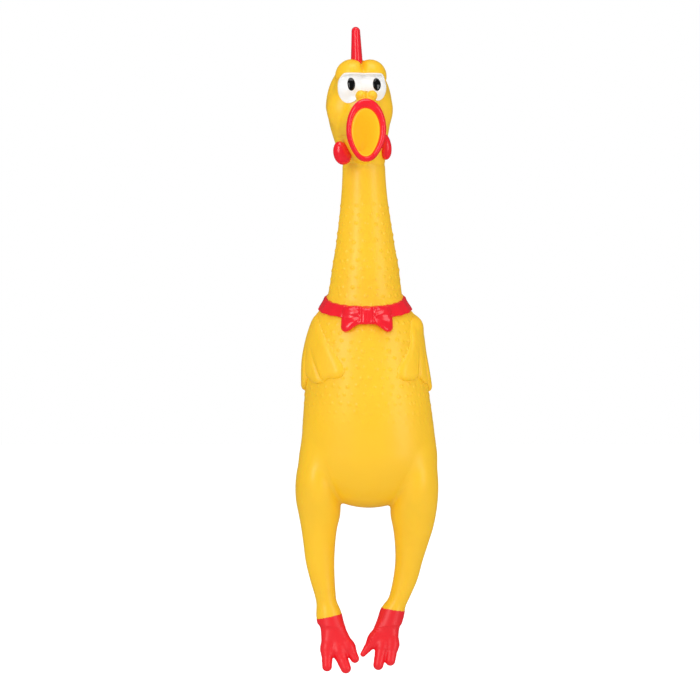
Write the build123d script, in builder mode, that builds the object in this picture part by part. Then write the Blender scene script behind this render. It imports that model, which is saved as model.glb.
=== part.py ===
"""Rubber chicken: a hollow soft-vinyl squeeze toy with a reed squeaker in its throat.

Millimetres. The origin is the middle of the body, where a hand closes round it. +Z runs up to the
comb, the face looks along -Y, and the toes hang down at -Z. The moulded skin is one tapering tube,
so each bend is a ball cut through its wall: the moving side ends inside the ball, the other outside.
"""

import math
import os

from build123d import *

os.makedirs("parts", exist_ok=True)

# Walls and clearances
WALL = 2.0  # moulded vinyl
LEG_WALL = 1.8
JOINT_GAP = 0.4  # between two segments of the skin that bend on each other
REACH = 170.0  # a tool solid this large takes in everything on its side

# Torso: height, half width, half depth, centre y
TORSO_STATIONS = [
    (84, 17.0, 16.8, 0.0),
    (74, 18.8, 18.2, 0.0),
    (66, 19.8, 19.2, 0.0),
    (56, 23.4, 21.4, -0.2),
    (45, 29.4, 25.2, -0.5),
    (28, 32.8, 28.6, -1.0),
    (6, 34.2, 31.0, -1.0),
    (-14, 35.6, 32.0, -1.0),
    (-34, 34.6, 30.0, -1.0),
    (-48, 27.0, 23.0, -1.0),
    (-56, 14.5, 12.5, -1.0),
    (-58, 8.0, 6.5, -1.0),
]
TAIL_AT, TAIL_ROOT, TAIL_TIP, TAIL_LONG, TAIL_DROOP = (0, 14, -44), 11.0, 4.6, 17.0, 104.0

# Neck: height, half width, half depth, centre x
NECK_STATIONS = [
    (62, 20.2, 19.6, 0.0),
    (74, 18.8, 18.2, 0.0),
    (88, 16.5, 16.2, -0.4),
    (101, 14.6, 14.4, -0.7),
    (114, 13.0, 13.0, -0.9),
    (128, 12.0, 12.4, -1.3),
]
NECK_BEND_Z, NECK_BEND_BALL = 78.0, 20.4
NECK_SWAY_Z, NECK_SWAY_BALL = 100.0, 16.8
HEAD_NOD_Z, HEAD_NOD_BALL = 121.0, 14.2

# Legs: height, half width, half depth, distance out from the middle
LEG_STATIONS = {
    "left": [
        (-6, 12.0, 15.0, 19.0),
        (-28, 14.0, 17.5, 24.6),
        (-46, 12.6, 17.6, 27.0),
        (-60, 11.5, 14.6, 26.3),
        (-74, 9.0, 11.2, 26.3),
        (-88, 7.9, 9.0, 25.7),
        (-104, 6.2, 7.4, 23.4),
        (-122, 5.5, 6.3, 20.0),
    ],
    "right": [
        (-6, 12.0, 15.0, 19.0),
        (-28, 14.0, 17.5, 24.6),
        (-46, 12.6, 17.6, 27.0),
        (-60, 12.0, 14.8, 26.0),
        (-74, 9.6, 11.4, 25.6),
        (-88, 7.3, 8.9, 23.7),
        (-104, 5.9, 7.3, 19.6),
        (-122, 5.3, 6.3, 14.0),
    ],
}
HIP_Z, HIP_BALL = -72.0, 14.2
KNEE_Z, KNEE_BALL = -94.0, 9.9
ANKLE_Z, ANKLE_BALL = -115.0, 8.2

# Feet lie in planes tipped forward: distance out, height as seen from the front, radius
FOOT_TILT = 22.0
WEB_THICK, WEB_SHARE = 4.4, 0.9
FOOT_TOP = {"left": (21.0, -119.5, 5.2), "right": (14.6, -119.5, 5.1)}
KNUCKLES = {
    "left": [(21.8, -137.5, 3.2), (15.6, -138.0, 3.6), (10.2, -136.5, 3.2)],
    "right": [(14.9, -135.0, 3.2), (9.6, -134.5, 3.4), (4.4, -131.5, 3.0)],
}
TOE_TIPS = {
    "left": [(22.0, -147.3, 2.7), (12.2, -147.0, 2.9), (6.6, -141.6, 2.5)],
    "right": [(14.6, -142.8, 2.9), (7.4, -145.4, 2.8), (-0.4, -138.6, 2.0)],
}

# Head: height, half width, half depth, centre x, centre y
HEAD_STATIONS = [
    (100, 14.6, 14.6, -0.7, 0.0),
    (114, 13.0, 13.1, -0.9, 0.0),
    (128, 12.0, 12.7, -1.3, 0.4),
    (139, 12.9, 14.9, -1.9, 1.0),
    (150, 15.0, 17.4, -2.5, 1.9),
    (163, 18.2, 20.2, -3.9, 2.8),
    (175, 16.9, 19.6, -4.0, 3.2),
    (184, 13.8, 16.2, -4.0, 3.2),
    (190, 8.4, 10.4, -4.0, 3.2),
    (192, 4.2, 6.0, -4.0, 3.2),
]
HEAD_TURN = 9.0  # degrees that the face looks off to its own left
HEAD_X = -4.5

# Beak and mouth in the face's own frame: distance ahead, centre height, half width, half height
BEAK_SECTIONS = [
    (0.0, 154.0, 15.6, 20.0),
    (10.0, 152.8, 14.6, 19.4),
    (20.0, 151.6, 12.6, 18.4),
    (31.0, 150.5, 11.0, 17.6),
]
CUP_SECTIONS = [
    (-6.0, 150.0, 5.0, 8.4),
    (2.0, 150.2, 7.0, 10.8),
    (18.0, 149.8, 7.6, 12.6),
    (32.0, 149.3, 8.0, 13.2),
]
CUP_WALL = 1.4
LIP_AHEAD, LIP_THICK, LIP_EDGE = 31.0, 3.0, 0.8
LIP_OUTER = [(0, 168.0), (6.6, 164.7), (10.6, 152.2), (7.6, 139.4), (0, 132.9)]
LIP_INNER = [(0, 162.4), (5.2, 159.8), (8.2, 150.8), (5.6, 140.4), (0, 136.0)]
NOSTRIL_X, NOSTRIL_Z, NOSTRIL_AHEAD, NOSTRIL_RADIUS = 3.0, 169.2, 25.5, 3.4

# Eyes and brows
EYE_X, EYE_Z, EYE_AHEAD, EYE_RADIUS = 5.9, 174.8, 12.8, 7.7
BROW_X, BROW_Z, BROW_AHEAD, BROW_RADIUS, BROW_EDGE_Z = 5.4, 182.0, 9.5, 9.9, 182.2
PUPIL_X, PUPIL_Z, PUPIL_WIDE, PUPIL_TALL, PUPIL_PROUD = 7.3, 176.6, 2.3, 3.7, 0.5

# Comb: ahead of the head's middle, height; it stands straight fore and aft
COMB_X, COMB_THICK, COMB_EDGE, COMB_ROUND = -5.7, 5.8, 1.9, 1.6
COMB_OUTLINE = [
    (8.0, 180.0),
    (14.0, 189.0),
    (11.6, 212.0),
    (5.4, 197.0),
    (-0.6, 207.6),
    (-5.0, 195.6),
    (-10.4, 203.6),
    (-13.0, 193.6),
    (-19.0, 197.4),
    (-15.6, 183.0),
    (-8.0, 180.0),
]

# Wattles, in the face's own frame: x, height, ahead, half width, half height, lean
WATTLES = {
    "left": (-10.4, 139.1, 11.8, 4.9, 6.4, -14.0),
    "right": (11.8, 141.2, 6.4, 4.0, 6.4, 8.0),
}
WATTLE_THICK, WATTLE_EDGE = 5.4, 2.0

# Squeaker, standing in the throat
SQUEAK_AT = (-2.0, 0.4)
SQUEAK_TOP_Z, SQUEAK_LENGTH = 137.2, 17.0
HOUSING_OUTER, HOUSING_INNER, HOUSING_ROOF = 6.5, 5.3, 1.2
THROAT_RADIUS = 3.0
SLEEVE_WALL, SLEEVE_LENGTH = 1.3, 6.5
PLUG_HEIGHT, PLUG_FLANGE, PLUG_BORE = 3.4, 1.0, 1.9
CHANNEL_OUTER, CHANNEL_INNER, CHANNEL_LENGTH = 3.2, 2.2, 9.6
REED_WIDE, REED_THICK, REED_LONG, REED_STANDOFF = 4.6, 0.35, 8.6, 0.55
CLAMP_THICK, CLAMP_TALL, CLAMP_CLEAR = 1.1, 1.8, 0.4

# Collar and bow
COLLAR_TILT = 14.0  # degrees, lower at the throat
COLLAR_Z, COLLAR_HIGH, COLLAR_PROUD = 56.6, 6.0, 1.8
BOW_PROUD, KNOT_PROUD = 3.2, 4.4
BOW_LOBE = [(1.0, 51.0), (7.0, 53.0), (13.6, 54.0), (14.8, 47.0), (12.6, 39.8), (6.0, 43.0), (1.0, 45.0)]
KNOT_WIDE, KNOT_HIGH, KNOT_Z = 6.6, 9.6, 48.6

# The two zones of the body that a squeeze pushes in
SQUEEZE_WIDE, SQUEEZE_HIGH, SQUEEZE_Z = 20.0, 26.0, -8.0

# Wings: distance from the breastbone side, height
WING_PROUD, WING_TURN = 3.4, 38.0
WING_OUTLINE = [
    (-14, 40),
    (-6, 44),
    (3, 41),
    (8, 31),
    (16, 17),
    (12, 12.5),
    (6, 15),
    (3, 19.5),
    (0, 12),
    (-7, 10.5),
    (-10, 17),
    (-14, 9),
    (-21, 11),
    (-20, 26),
]


def skin_loft(stations, inset):
    """The solid through rows of (height, half width, half depth, centre x, centre y)."""
    sections = []
    for z, wide, deep, x, y in stations:
        with BuildSketch(Plane.XY.offset(z)) as section:
            with Locations((x, y)):
                Ellipse(wide - inset, deep - inset)
        sections.append(section.sketch)
    with BuildPart() as body:
        loft(sections=sections)
    return body.part


def face_plane(ahead):
    """The face's own upright plane: x to its left, y up, looking forward."""
    turn = math.radians(HEAD_TURN)
    forward = Vector(math.sin(turn), -math.cos(turn), 0)
    return Plane(Vector(HEAD_X, 0, 0) + forward * ahead, x_dir=(math.cos(turn), math.sin(turn), 0), z_dir=forward)


def face_loft(sections, grow):
    """A solid through elliptical sections standing in the face's frame."""
    outlines = []
    for ahead, z, wide, tall in sections:
        with BuildSketch(face_plane(ahead)) as outline:
            with Locations((0, z)):
                Ellipse(wide + grow, tall + grow)
        outlines.append(outline.sketch)
    with BuildPart() as body:
        loft(sections=outlines)
    return body.part


def swing_room(pivot, radius, below):
    """All that the moving side of a bend may fill: a ball at its pivot and everything past it."""
    side = Align.MAX if below else Align.MIN
    with BuildPart() as room:
        with Locations(pivot):
            Sphere(radius)
            Box(REACH, REACH, REACH, align=(Align.CENTER, Align.CENTER, side))
    return room.part


def between(rows, z, column):
    """A column of the sections at a height, in a straight line between the two nearest."""
    for upper, lower in zip(rows, rows[1:]):
        if lower[0] <= z <= upper[0]:
            share = (upper[0] - z) / (upper[0] - lower[0])
            return upper[column] + share * (lower[column] - upper[column])
    raise ValueError(z)


def smooth_prism(plane, points, far, near=0.0):
    """A prism whose outline runs as a closed smooth curve through the points."""
    with BuildPart() as prism:
        with BuildSketch(plane.offset(near)):
            with BuildLine():
                Spline(*points, periodic=True)
            make_face()
        extrude(amount=far - near)
    return prism.part


def mirrored(points):
    """The other half of an outline whose first and last points stand on its centreline."""
    return points + [(-x, y) for x, y in reversed(points[1:-1])]


def save(solid, name):
    """Labels one finished piece and writes its STEP."""
    solid.label = name
    export_step(solid, f"parts/{name}.step")


# ---------------------------------------------------------------- the body, cut at its bends
torso_rows = [(z, wide, deep, 0, y) for z, wide, deep, y in TORSO_STATIONS]
neck_rows = [(z, wide, deep, x, 0) for z, wide, deep, x in NECK_STATIONS]
leg_rows = {}
for side, sign in (("left", -1), ("right", 1)):
    leg_rows[side] = [(z, wide, deep, sign * x, 0) for z, wide, deep, x in LEG_STATIONS[side]]

hips = {side: (between(rows, HIP_Z, 3), 0, HIP_Z) for side, rows in leg_rows.items()}
knees = {side: (between(rows, KNEE_Z, 3), 0, KNEE_Z) for side, rows in leg_rows.items()}
ankles = {side: (between(rows, ANKLE_Z, 3), 0, ANKLE_Z) for side, rows in leg_rows.items()}
neck_bend = (0, 0, NECK_BEND_Z)
neck_sway = (-0.7, 0, NECK_SWAY_Z)
head_nod = (-1.1, 0, HEAD_NOD_Z)

torso_skin = skin_loft(torso_rows, 0)
torso_hollow = skin_loft(torso_rows[:-1], WALL)
leg_skin = {side: skin_loft(rows, 0) for side, rows in leg_rows.items()}
leg_hollow = {side: skin_loft(rows, LEG_WALL) for side, rows in leg_rows.items()}

with BuildPart() as trunk:
    add(torso_skin)
    add(leg_skin["left"])
    add(leg_skin["right"])
    with Locations(Location(TAIL_AT, (-TAIL_DROOP, 0, 0))):
        Cone(TAIL_ROOT, TAIL_TIP, TAIL_LONG, align=(Align.CENTER, Align.CENTER, Align.MIN))
        with Locations((0, 0, TAIL_LONG)):
            Sphere(TAIL_TIP)
    add(torso_hollow, mode=Mode.SUBTRACT)
    for side in leg_rows:
        add(leg_hollow[side], mode=Mode.SUBTRACT)
        add(swing_room(hips[side], HIP_BALL + JOINT_GAP, True), mode=Mode.SUBTRACT)
    add(swing_room(neck_bend, NECK_BEND_BALL + JOINT_GAP, False), mode=Mode.SUBTRACT)


def squeeze_prism(shrink):
    """A bar along Y behind and in front of the squeeze zones."""
    with BuildPart() as prism:
        with BuildSketch(Plane.XZ):
            with Locations((0, SQUEEZE_Z)):
                Ellipse(SQUEEZE_WIDE - shrink, SQUEEZE_HIGH - shrink)
        extrude(amount=REACH / 2, both=True)
    return prism.part


squeeze_window = squeeze_prism(0)
squeeze_plug = squeeze_prism(JOINT_GAP)

with BuildPart() as torso_shell:
    add(trunk.part)
    add(squeeze_window, mode=Mode.SUBTRACT)
save(torso_shell.part, "torso_shell")

for name, plane in (("belly_panel", Plane.XZ), ("back_panel", -Plane.XZ)):
    with BuildPart() as panel:
        add(trunk.part)
        add(squeeze_plug, mode=Mode.INTERSECT)
        split(bisect_by=plane, keep=Keep.TOP)
    save(panel.part, name)

# ---------------------------------------------------------------- wings, collar and bow
wing_wrap = skin_loft([(z, w + WING_PROUD, d + WING_PROUD, x, y) for z, w, d, x, y in torso_rows[3:9]], 0)
wing_angle = math.radians(WING_TURN)
for side, sign in (("left", -1), ("right", 1)):
    # Both outlines are drawn with x running towards the breastbone
    plane = Plane(
        origin=(0, 0, 0),
        x_dir=(math.sin(wing_angle), sign * math.cos(wing_angle), 0),
        z_dir=(sign * math.cos(wing_angle), -math.sin(wing_angle), 0),
    )
    toward = 1 if side == "left" else -1
    with BuildPart() as wing:
        add(smooth_prism(plane, [(toward * u, v) for u, v in WING_OUTLINE], REACH / 2))
        add(wing_wrap, mode=Mode.INTERSECT)
        add(torso_skin, mode=Mode.SUBTRACT)
    save(wing.part, f"wing_{side}")

collar_rows = [(z, w + COLLAR_PROUD, d + COLLAR_PROUD, x, y) for z, w, d, x, y in torso_rows[:6]]
with BuildPart() as collar_band:
    add(skin_loft(collar_rows, 0))
    with Locations(Location((0, 0, COLLAR_Z), (COLLAR_TILT, 0, 0))):
        Box(REACH, REACH, COLLAR_HIGH, mode=Mode.INTERSECT)
    add(torso_skin, mode=Mode.SUBTRACT)
save(collar_band.part, "collar_band")

front = Plane.XZ
with BuildPart() as knot_prism:
    with BuildSketch(front):
        with Locations((0.4, KNOT_Z)):
            RectangleRounded(KNOT_WIDE, KNOT_HIGH, 2.2)
    extrude(amount=REACH / 4)
knot_rows = [(z, w + KNOT_PROUD, d + KNOT_PROUD, x, y) for z, w, d, x, y in torso_rows[:6]]
with BuildPart() as bow_knot:
    add(knot_prism.part)
    add(skin_loft(knot_rows, 0), mode=Mode.INTERSECT)
    add(torso_skin, mode=Mode.SUBTRACT)
    add(collar_band.part, mode=Mode.SUBTRACT)
save(bow_knot.part, "bow_knot")

bow_rows = [(z, w + BOW_PROUD, d + BOW_PROUD, x, y) for z, w, d, x, y in torso_rows[:6]]
bow_wrap = skin_loft(bow_rows, 0)
for side, sign in (("left", -1), ("right", 1)):
    with BuildPart() as bow:
        add(smooth_prism(front, [(0.4 + sign * x, z) for x, z in BOW_LOBE], REACH / 4))
        add(bow_wrap, mode=Mode.INTERSECT)
        add(torso_skin, mode=Mode.SUBTRACT)
        add(collar_band.part, mode=Mode.SUBTRACT)
        add(knot_prism.part, mode=Mode.SUBTRACT)
    save(bow.part, f"bow_loop_{side}")

# ---------------------------------------------------------------- neck, two segments
with BuildPart() as neck_tube:
    add(skin_loft(neck_rows, 0))
    add(skin_loft(neck_rows, WALL), mode=Mode.SUBTRACT)

with BuildPart() as lower_neck:
    add(neck_tube.part)
    add(swing_room(neck_bend, NECK_BEND_BALL, False), mode=Mode.INTERSECT)
    add(swing_room(neck_sway, NECK_SWAY_BALL + JOINT_GAP, False), mode=Mode.SUBTRACT)
save(lower_neck.part, "lower_neck")

with BuildPart() as upper_neck:
    add(neck_tube.part)
    add(swing_room(neck_sway, NECK_SWAY_BALL, False), mode=Mode.INTERSECT)
    add(swing_room(head_nod, HEAD_NOD_BALL + JOINT_GAP, False), mode=Mode.SUBTRACT)
save(upper_neck.part, "upper_neck")

# ---------------------------------------------------------------- legs and feet
def foot_point(spot, sign):
    """Where a knuckle or toe tip stands, the foot hanging in a plane tipped forward."""
    drop = spot[1] - ANKLE_Z
    return Vector(sign * spot[0], drop * math.tan(math.radians(FOOT_TILT)), spot[1])


foot_normal = (0, -math.cos(math.radians(FOOT_TILT)), math.sin(math.radians(FOOT_TILT)))

for side, sign in (("left", -1), ("right", 1)):
    with BuildPart() as leg_tube:
        add(leg_skin[side])
        add(leg_hollow[side], mode=Mode.SUBTRACT)

    with BuildPart() as thigh:
        add(leg_tube.part)
        add(swing_room(hips[side], HIP_BALL, True), mode=Mode.INTERSECT)
        add(swing_room(knees[side], KNEE_BALL + JOINT_GAP, True), mode=Mode.SUBTRACT)
    save(thigh.part, f"drumstick_{side}")

    with BuildPart() as shank:
        add(leg_tube.part)
        add(swing_room(knees[side], KNEE_BALL, True), mode=Mode.INTERSECT)
        add(swing_room(ankles[side], ANKLE_BALL + JOINT_GAP, True), mode=Mode.SUBTRACT)
    save(shank.part, f"shank_{side}")

    toe_lines = []
    for knuckle, tip in zip(KNUCKLES[side], TOE_TIPS[side]):
        toe_lines += [(FOOT_TOP[side], knuckle), (knuckle, tip)]
    with BuildPart() as pads:
        web_plane = Plane(foot_point(FOOT_TOP[side], sign), x_dir=(1, 0, 0), z_dir=foot_normal)
        with BuildSketch(web_plane):
            for spot in (FOOT_TOP[side], *KNUCKLES[side]):
                x, y, z = web_plane.to_local_coords(foot_point(spot, sign))
                with Locations((x, y)):
                    Circle(spot[2] * WEB_SHARE)
            make_hull()
        extrude(amount=WEB_THICK / 2, both=True)
        for start, end in toe_lines:
            a, b = foot_point(start, sign), foot_point(end, sign)
            with Locations(a):
                Sphere(start[2])
            with Locations(b):
                Sphere(end[2])
            with Locations(Plane(origin=a, z_dir=b - a)):
                Cone(start[2], end[2], (b - a).length, align=(Align.CENTER, Align.CENTER, Align.MIN))

    with BuildPart() as foot:
        add(pads.part)
        with Locations(ankles[side]):
            Sphere(ANKLE_BALL, mode=Mode.SUBTRACT)
        with BuildPart(mode=Mode.PRIVATE) as ankle_sleeve:
            add(leg_skin[side])
            add(swing_room(ankles[side], ANKLE_BALL, True), mode=Mode.INTERSECT)
        add(ankle_sleeve.part)
        add(leg_hollow[side], mode=Mode.SUBTRACT)
    save(foot.part, f"foot_{side}")

# ---------------------------------------------------------------- head
head_skin = skin_loft(HEAD_STATIONS, 0)
head_hollow = skin_loft(HEAD_STATIONS[:-1], WALL)
beak_skin = face_loft(BEAK_SECTIONS, 0)
mouth_space = face_loft(CUP_SECTIONS, 0)


def face_point(x, z, ahead):
    """A point given in the face's own frame."""
    return face_plane(ahead).from_local_coords(Vector(x, z, 0))


with BuildPart() as brows:
    with Locations(face_point(-BROW_X, BROW_Z, BROW_AHEAD), face_point(BROW_X, BROW_Z, BROW_AHEAD)):
        Sphere(BROW_RADIUS)
    split(bisect_by=Plane.XY.offset(BROW_EDGE_Z), keep=Keep.TOP)

sleeve_radius = HOUSING_OUTER + SLEEVE_WALL
sleeve_bottom = SQUEAK_TOP_Z - SLEEVE_LENGTH
cup_back, *cup_middle, cup_front = CUP_SECTIONS
with BuildPart() as mouth_block:
    add(face_loft([(cup_back[0] - CUP_WALL, *cup_back[1:]), *cup_middle, (LIP_AHEAD, *cup_front[1:])], CUP_WALL))
    with Locations((*SQUEAK_AT, sleeve_bottom)):
        Cylinder(sleeve_radius, 145.0 - sleeve_bottom, align=(Align.CENTER, Align.CENTER, Align.MIN))

with BuildPart() as head_shell:
    add(head_skin)
    add(beak_skin)
    add(brows.part)
    add(head_hollow, mode=Mode.SUBTRACT)
    add(mouth_block.part, mode=Mode.SUBTRACT)
    add(swing_room(head_nod, HEAD_NOD_BALL, False), mode=Mode.INTERSECT)
save(head_shell.part, "head_shell")

with BuildPart() as mouth_cup:
    add(mouth_block.part)
    add(mouth_space, mode=Mode.SUBTRACT)
    with Locations((*SQUEAK_AT, sleeve_bottom)):
        Cylinder(HOUSING_OUTER, SLEEVE_LENGTH, align=(Align.CENTER, Align.CENTER, Align.MIN), mode=Mode.SUBTRACT)
    with Locations((*SQUEAK_AT, SQUEAK_TOP_Z)):
        Cylinder(THROAT_RADIUS, 12.0, align=(Align.CENTER, Align.CENTER, Align.MIN), mode=Mode.SUBTRACT)
save(mouth_cup.part, "mouth_cup")

with BuildPart() as beak_lip:
    add(smooth_prism(face_plane(LIP_AHEAD), mirrored(LIP_OUTER), LIP_THICK))
    add(smooth_prism(face_plane(LIP_AHEAD), mirrored(LIP_INNER), LIP_THICK), mode=Mode.SUBTRACT)
    rim = beak_lip.faces().sort_by(Axis((0, 0, 0), face_plane(0).z_dir))[-1]
    fillet(rim.edges(), radius=LIP_EDGE)
save(beak_lip.part, "beak_lip")

head_bulk = [head_skin, beak_skin, brows.part]

with BuildPart() as nostril_ridge:
    with Locations(
        face_point(-NOSTRIL_X, NOSTRIL_Z, NOSTRIL_AHEAD), face_point(NOSTRIL_X, NOSTRIL_Z, NOSTRIL_AHEAD)
    ):
        Sphere(NOSTRIL_RADIUS)
    for bulk in head_bulk:
        add(bulk, mode=Mode.SUBTRACT)
save(nostril_ridge.part, "nostril_ridge")

with BuildPart() as eye_whites:
    with Locations(face_point(-EYE_X, EYE_Z, EYE_AHEAD), face_point(EYE_X, EYE_Z, EYE_AHEAD)):
        Sphere(EYE_RADIUS)
    for bulk in head_bulk:
        add(bulk, mode=Mode.SUBTRACT)
save(eye_whites.part, "eye_whites")

for side, sign in (("left", -1), ("right", 1)):
    with BuildPart() as pupil:
        with BuildSketch(face_plane(EYE_AHEAD)):
            with Locations((sign * PUPIL_X, PUPIL_Z)):
                Ellipse(PUPIL_WIDE, PUPIL_TALL)
        extrude(amount=REACH / 4)
        with Locations(face_point(sign * EYE_X, EYE_Z, EYE_AHEAD)):
            Sphere(EYE_RADIUS + PUPIL_PROUD, mode=Mode.INTERSECT)
            Sphere(EYE_RADIUS, mode=Mode.SUBTRACT)
        add(brows.part, mode=Mode.SUBTRACT)
    save(pupil.part, f"pupil_{side}")

comb_plane = Plane(origin=(COMB_X, 0, 0), x_dir=(0, -1, 0), z_dir=(-1, 0, 0))
with BuildPart() as comb:
    with BuildSketch(comb_plane) as comb_sketch:
        with BuildLine():
            Polyline(*COMB_OUTLINE, close=True)
        make_face()
        fillet(comb_sketch.vertices(), radius=COMB_ROUND)
    extrude(amount=COMB_THICK / 2, both=True)
    fillet(comb.faces().filter_by(Axis((0, 0, 0), comb_plane.z_dir)).edges(), radius=COMB_EDGE)
    for bulk in head_bulk:
        add(bulk, mode=Mode.SUBTRACT)
save(comb.part, "comb")

for side, (x, z, ahead, wide, tall, lean) in WATTLES.items():
    with BuildPart() as wattle:
        with BuildSketch(face_plane(ahead)):
            with Locations((x, z)):
                Ellipse(wide, tall, rotation=lean)
        extrude(amount=WATTLE_THICK)
        fillet(wattle.edges(), radius=WATTLE_EDGE)
        for bulk in head_bulk:
            add(bulk, mode=Mode.SUBTRACT)
    save(wattle.part, f"wattle_{side}")

# ---------------------------------------------------------------- squeaker
squeak_bottom = SQUEAK_TOP_Z - SQUEAK_LENGTH
upward = (Align.CENTER, Align.CENTER, Align.MIN)
downward = (Align.CENTER, Align.CENTER, Align.MAX)

with BuildPart() as squeaker_housing:
    with Locations((*SQUEAK_AT, squeak_bottom)):
        Cylinder(HOUSING_OUTER, SQUEAK_LENGTH, align=upward)
        Cylinder(HOUSING_INNER, SQUEAK_LENGTH - HOUSING_ROOF, align=upward, mode=Mode.SUBTRACT)
        Cylinder(THROAT_RADIUS, SQUEAK_LENGTH, align=upward, mode=Mode.SUBTRACT)
save(squeaker_housing.part, "squeaker_housing")

plug_top = squeak_bottom + PLUG_HEIGHT
with BuildPart() as squeaker_plug:
    with Locations((*SQUEAK_AT, squeak_bottom)):
        Cylinder(HOUSING_INNER, PLUG_HEIGHT, align=upward)
        Cylinder(HOUSING_OUTER, PLUG_FLANGE, align=downward)
    with Locations((*SQUEAK_AT, squeak_bottom - PLUG_FLANGE)):
        Cylinder(PLUG_BORE, PLUG_HEIGHT + PLUG_FLANGE, align=upward, mode=Mode.SUBTRACT)
save(squeaker_plug.part, "squeaker_plug")

# The channel is a half tube whose open side faces the beak; the reed beats across that side
with BuildPart() as reed_channel:
    with Locations((*SQUEAK_AT, plug_top)):
        Cylinder(CHANNEL_OUTER, CHANNEL_LENGTH, align=upward)
        Cylinder(CHANNEL_INNER, CHANNEL_LENGTH - 1.0, align=upward, mode=Mode.SUBTRACT)
        Box(10, 10, CHANNEL_LENGTH, align=(Align.CENTER, Align.MAX, Align.MIN), mode=Mode.SUBTRACT)
save(reed_channel.part, "reed_channel")

reed_y = SQUEAK_AT[1] - REED_STANDOFF
with BuildPart() as reed:
    with Locations((SQUEAK_AT[0], reed_y, plug_top + CLAMP_CLEAR)):
        Box(REED_WIDE, REED_THICK, REED_LONG, align=(Align.CENTER, Align.MAX, Align.MIN))
    fillet(reed.edges().filter_by(Axis.Y).group_by(Axis.Z)[-1], radius=1.8)
save(reed.part, "reed")

clamp_y = reed_y - REED_THICK - CLAMP_CLEAR
with BuildPart() as reed_clamp:
    with Locations((SQUEAK_AT[0], clamp_y, plug_top)):
        Box(REED_WIDE, CLAMP_THICK, CLAMP_TALL, align=(Align.CENTER, Align.MAX, Align.MIN))
save(reed_clamp.part, "reed_clamp")
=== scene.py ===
"""The looks of a vinyl rubber chicken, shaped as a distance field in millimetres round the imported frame."""

import math

import bpy
import numpy as np
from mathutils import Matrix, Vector


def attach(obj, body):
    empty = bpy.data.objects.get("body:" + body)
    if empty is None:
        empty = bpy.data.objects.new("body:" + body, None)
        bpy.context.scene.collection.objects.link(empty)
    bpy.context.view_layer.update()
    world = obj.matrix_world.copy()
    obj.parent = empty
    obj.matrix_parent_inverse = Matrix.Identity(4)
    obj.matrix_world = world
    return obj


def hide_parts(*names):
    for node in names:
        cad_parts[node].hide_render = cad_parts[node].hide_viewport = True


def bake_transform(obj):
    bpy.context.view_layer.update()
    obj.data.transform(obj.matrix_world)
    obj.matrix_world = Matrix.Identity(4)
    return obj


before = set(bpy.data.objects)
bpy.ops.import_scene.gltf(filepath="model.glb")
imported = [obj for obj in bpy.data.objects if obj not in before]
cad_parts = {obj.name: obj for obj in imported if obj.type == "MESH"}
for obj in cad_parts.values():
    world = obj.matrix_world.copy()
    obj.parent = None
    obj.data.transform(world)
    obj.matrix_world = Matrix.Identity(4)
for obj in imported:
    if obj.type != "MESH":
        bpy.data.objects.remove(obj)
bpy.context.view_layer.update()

# ---------------------------------------------------------------- sizes, millimetres
SKIN_GRID = 0.6
HEAD_GRID = 0.42
FOOT_GRID = 0.36
TRIM_GRID = 0.28
NORMAL_STEP = 0.12  # how far apart a field is sampled for a surface's normals

# Height, half width, half depth, centre x, centre y
TRUNK = [
    (-46, 36.6, 29.4, 1.1, -1.0),
    (-26, 37.3, 31.4, 1.6, -1.0),
    (-10, 36.3, 32.0, 1.1, -1.0),
    (8, 34.4, 31.3, 0.4, -1.0),
    (28, 32.8, 28.8, -0.8, -1.0),
    (41, 30.6, 26.4, -0.3, -0.8),
    (50, 26.9, 23.6, -0.4, -0.4),
    (58, 21.6, 20.4, -0.6, 0.0),
    (66, 19.8, 19.2, -0.4, 0.0),
    (76, 18.5, 18.0, -0.3, 0.0),
    (88, 16.4, 16.2, -0.4, 0.0),
    (100, 14.7, 14.5, -0.6, 0.0),
    (112, 13.2, 13.1, -0.9, 0.0),
    (124, 12.2, 12.4, -1.1, 0.1),
    (134, 12.0, 12.9, -1.3, 0.6),
    (142, 13.0, 14.9, -1.9, 1.2),
    (150, 14.8, 17.0, -2.4, 1.9),
    (158, 17.0, 19.0, -3.3, 2.5),
    (165, 18.5, 20.2, -3.9, 2.9),
    (180, 18.5, 20.4, -4.0, 3.0),
]
# Below and above these heights the trunk closes in half an ellipsoid, this tall
BELLY_Z, BELLY_TALL = -26.0, 32.0
CROWN_Z, CROWN_TALL = 165.0, 26.8
LEG_TOP_Z, LEG_END_Z = -16, -121
LEGS = {
    -1: [
        (-16, 7.0, 11.0, -24.6, -2.0),
        (-30, 10.7, 17.0, -26.1, -3.6),
        (-44, 12.4, 18.6, -26.8, -4.8),
        (-54, 12.4, 17.2, -26.5, -4.0),
        (-62, 11.5, 14.8, -25.9, -2.4),
        (-70, 9.9, 12.2, -26.1, -1.0),
        (-78, 8.9, 10.4, -26.0, 0.0),
        (-88, 8.0, 9.0, -25.6, 0.0),
        (-98, 6.9, 7.8, -24.3, 0.0),
        (-108, 5.8, 7.0, -22.5, 0.0),
        (-116, 5.5, 6.5, -21.3, 0.0),
        (-124, 5.6, 6.0, -19.8, -1.5),
    ],
    1: [
        (-16, 7.0, 11.0, 26.6, -2.0),
        (-30, 10.5, 17.0, 28.0, -3.6),
        (-44, 12.8, 18.6, 27.4, -4.8),
        (-54, 13.1, 17.2, 26.8, -4.0),
        (-62, 12.6, 15.0, 26.3, -2.4),
        (-70, 11.0, 12.6, 26.2, -1.0),
        (-78, 9.3, 10.6, 25.4, 0.0),
        (-88, 7.6, 8.9, 23.9, 0.0),
        (-98, 6.8, 7.8, 21.9, 0.0),
        (-108, 5.8, 7.0, 18.6, 0.0),
        (-116, 5.2, 6.5, 15.4, 0.0),
        (-124, 5.2, 6.0, 12.7, -1.5),
    ],
}
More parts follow.
